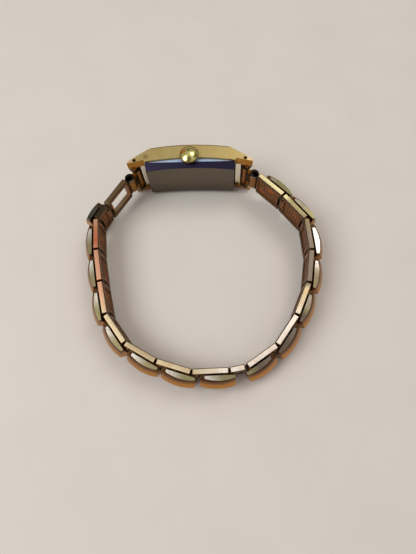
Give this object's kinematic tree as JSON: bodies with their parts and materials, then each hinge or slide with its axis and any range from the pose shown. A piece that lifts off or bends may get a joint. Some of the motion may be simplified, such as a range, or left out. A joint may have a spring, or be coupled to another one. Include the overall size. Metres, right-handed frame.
{
  "type": "wristwatch",
  "caption": "Small rectangular gold quartz wristwatch lying on its side, steel back, fluted crown, arched crystal and a hinged link bracelet closed into a loop",
  "frame": {"origin": "middle of the flat case side at 9 o'clock, on which the watch rests", "axes": "+X from 6 o'clock to 12 o'clock, +Y out of the dial, +Z from the resting side towards the crown; the loop of the bracelet lies towards -Y"},
  "size_m": [0.0568, 0.057, 0.0143],
  "materials": {
    "satin_gold": "satin brushed gold plating, fine lines along the case",
    "polished_gold": "polished yellow gold plating",
    "rolled_gold": "rolled gold worn to a copper tone, bright along the rails",
    "cap_gold": "amber gold plating with fine cross lines",
    "steel_back": "polished bevels and a brushed back face",
    "bright_steel": "bright turned steel",
    "mineral_glass": "clear arched glass",
    "seal_rubber": "matt black seal",
    "dial_paint": "ivory dial with gold markers",
    "movement_brass": "plain brass plate and wheels",
    "ring_plastic": "natural moulded plastic",
    "board_green": "varnished circuit board",
    "copper_wire": "varnished copper wire"
  },
  "bodies": {
    "case": {"case_shell": "satin_gold", "crystal": "mineral_glass", "case_back": "steel_back", "spring_bars": "bright_steel", "crystal_gasket": "seal_rubber", "dial": "dial_paint", "back_gasket": "seal_rubber", "crown_tube": "polished_gold", "movement_ring": "ring_plastic", "main_plate": "movement_brass", "train_bridge": "bright_steel", "battery": "bright_steel", "battery_strap": "movement_brass", "circuit_board": "board_green", "coil": "copper_wire", "stator": "bright_steel"},
    "clutch": {"clutch_wheel": "bright_steel"},
    "crown": {"crown": "polished_gold", "stem": "bright_steel"},
    "minute_train": {"centre_wheel": "movement_brass", "minute_hand": "polished_gold"},
    "minute_wheel": {"minute_wheel": "movement_brass"},
    "hour": {"hour_wheel": "movement_brass", "hour_hand": "polished_gold"},
    "step_wheel": {"step_wheel": "movement_brass"},
    "rotor": {"rotor": "bright_steel"},
    "left_end": {"end_link_left": "rolled_gold"},
    "right_end": {"end_link_right": "rolled_gold"},
    "left_1": {"link_left_1": "rolled_gold"},
    "left_2": {"link_left_2": "rolled_gold", "cap_left_2": "cap_gold"},
    "left_3": {"link_left_3": "rolled_gold", "cap_left_3": "cap_gold"},
    "left_4": {"link_left_4": "rolled_gold", "cap_left_4": "cap_gold"},
    "left_5": {"link_left_5": "rolled_gold", "cap_left_5": "cap_gold"},
    "left_6": {"link_left_6": "rolled_gold", "cap_left_6": "cap_gold"},
    "left_7": {"link_left_7": "rolled_gold", "cap_left_7": "cap_gold"},
    "left_8": {"link_left_8": "rolled_gold", "cap_left_8": "cap_gold"},
    "left_9": {"link_left_9": "rolled_gold", "cap_left_9": "cap_gold"},
    "clasp": {"clasp_link": "rolled_gold"},
    "right_1": {"link_right_1": "rolled_gold", "cap_right_1": "cap_gold"},
    "right_2": {"link_right_2": "rolled_gold", "cap_right_2": "cap_gold"},
    "right_3": {"link_right_3": "rolled_gold", "cap_right_3": "cap_gold"},
    "right_4": {"link_right_4": "rolled_gold", "cap_right_4": "cap_gold"},
    "right_5": {"link_right_5": "rolled_gold", "cap_right_5": "cap_gold"},
    "right_6": {"link_right_6": "rolled_gold", "cap_right_6": "cap_gold"},
    "right_7": {"link_right_7": "rolled_gold", "cap_right_7": "cap_gold"}
  },
  "joints": [
    {"name": "crown_turn", "type": "hinge", "parent": "case", "child": "clutch", "pos_m": [0, -0.0016, 0.0063], "axis": [0, 0, 1], "continuous": true},
    {"name": "crown_pull", "type": "slide", "parent": "clutch", "child": "crown", "axis": [0, 0, 1], "range_m": [0, 0.0008]},
    {"name": "minute_turn", "type": "hinge", "parent": "case", "child": "minute_train", "pos_m": [0, -0.001, 0.0063], "axis": [0, -1, 0], "continuous": true},
    {"name": "minute_wheel_turn", "type": "hinge", "parent": "case", "child": "minute_wheel", "pos_m": [0.00173, -0.001, 0.0053], "axis": [0, -1, 0], "continuous": true},
    {"name": "hour_turn", "type": "hinge", "parent": "case", "child": "hour", "pos_m": [0, -0.001, 0.0063], "axis": [0, -1, 0], "continuous": true},
    {"name": "step_wheel_turn", "type": "hinge", "parent": "case", "child": "step_wheel", "pos_m": [0.00169, -0.002, 0.00568], "axis": [0, -1, 0], "continuous": true},
    {"name": "rotor_turn", "type": "hinge", "parent": "case", "child": "rotor", "pos_m": [0.00353, -0.002, 0.00526], "axis": [0, -1, 0], "continuous": true},
    {"name": "left_spring_bar", "type": "hinge", "parent": "case", "child": "left_end", "pos_m": [-0.0134, -0.0023, 0.0063], "axis": [0, 0, 1], "range_deg": [-35, 0]},
    {"name": "left_hinge_1", "type": "hinge", "parent": "left_end", "child": "left_1", "pos_m": [-0.01525, -0.00466, 0.0063], "axis": [0, 0, 1], "range_deg": [-8, 0]},
    {"name": "left_hinge_2", "type": "hinge", "parent": "left_1", "child": "left_2", "pos_m": [-0.02036, -0.01255, 0.0063], "axis": [0, 0, 1], "range_deg": [-7, 0]},
    {"name": "left_hinge_3", "type": "hinge", "parent": "left_2", "child": "left_3", "pos_m": [-0.02237, -0.01618, 0.0063], "axis": [0, 0, 1], "range_deg": [-37, 0]},
    {"name": "left_hinge_4", "type": "hinge", "parent": "left_3", "child": "left_4", "pos_m": [-0.02167, -0.02405, 0.0063], "axis": [0, 0, 1], "range_deg": [-9, 0]},
    {"name": "left_hinge_5", "type": "hinge", "parent": "left_4", "child": "left_5", "pos_m": [-0.02014, -0.0318, 0.0063], "axis": [0, 0, 1], "range_deg": [-5.5, 0]},
    {"name": "left_hinge_6", "type": "hinge", "parent": "left_5", "child": "left_6", "pos_m": [-0.01827, -0.03948, 0.0063], "axis": [0, 0, 1], "range_deg": [-26, 0]},
    {"name": "left_hinge_7", "type": "hinge", "parent": "left_6", "child": "left_7", "pos_m": [-0.01355, -0.04581, 0.0063], "axis": [0, 0, 1], "range_deg": [-27, 0]},
    {"name": "left_hinge_8", "type": "hinge", "parent": "left_7", "child": "left_8", "pos_m": [-0.00666, -0.04967, 0.0063], "axis": [0, 0, 1], "range_deg": [-15.5, 0]},
    {"name": "left_hinge_9", "type": "hinge", "parent": "left_8", "child": "left_9", "pos_m": [0.0009, -0.05195, 0.0063], "axis": [0, 0, 1], "range_deg": [-22, 0]},
    {"name": "clasp_hinge", "type": "hinge", "parent": "left_9", "child": "clasp", "pos_m": [0.0088, -0.05163, 0.0063], "axis": [0, 0, 1], "range_deg": [-15.5, 0]},
    {"name": "right_spring_bar", "type": "hinge", "parent": "case", "child": "right_end", "pos_m": [0.0134, -0.0023, 0.0063], "axis": [0, 0, 1], "range_deg": [0, 35]},
    {"name": "right_hinge_1", "type": "hinge", "parent": "right_end", "child": "right_1", "pos_m": [0.01571, -0.00421, 0.0063], "axis": [0, 0, 1], "range_deg": [0, 8]},
    {"name": "right_hinge_2", "type": "hinge", "parent": "right_1", "child": "right_2", "pos_m": [0.02236, -0.01085, 0.0063], "axis": [0, 0, 1], "range_deg": [0, 9.5]},
    {"name": "right_hinge_3", "type": "hinge", "parent": "right_2", "child": "right_3", "pos_m": [0.02723, -0.01707, 0.0063], "axis": [0, 0, 1], "range_deg": [0, 36]},
    {"name": "right_hinge_4", "type": "hinge", "parent": "right_3", "child": "right_4", "pos_m": [0.02786, -0.02495, 0.0063], "axis": [0, 0, 1], "range_deg": [0, 16]},
    {"name": "right_hinge_5", "type": "hinge", "parent": "right_4", "child": "right_5", "pos_m": [0.02664, -0.03275, 0.0063], "axis": [0, 0, 1], "range_deg": [0, 17]},
    {"name": "right_hinge_6", "type": "hinge", "parent": "right_5", "child": "right_6", "pos_m": [0.0235, -0.04, 0.0063], "axis": [0, 0, 1], "range_deg": [0, 14.5]},
    {"name": "right_hinge_7", "type": "hinge", "parent": "right_6", "child": "right_7", "pos_m": [0.01893, -0.04645, 0.0063], "axis": [0, 0, 1], "range_deg": [0, 24.5]}
  ],
  "couplings": [
    {"joint": "minute_wheel_turn", "follows": "minute_turn", "ratio": -0.33333},
    {"joint": "hour_turn", "follows": "minute_turn", "ratio": 0.083333},
    {"joint": "step_wheel_turn", "follows": "minute_turn", "ratio": -5},
    {"joint": "rotor_turn", "follows": "minute_turn", "ratio": 30}
  ]
}
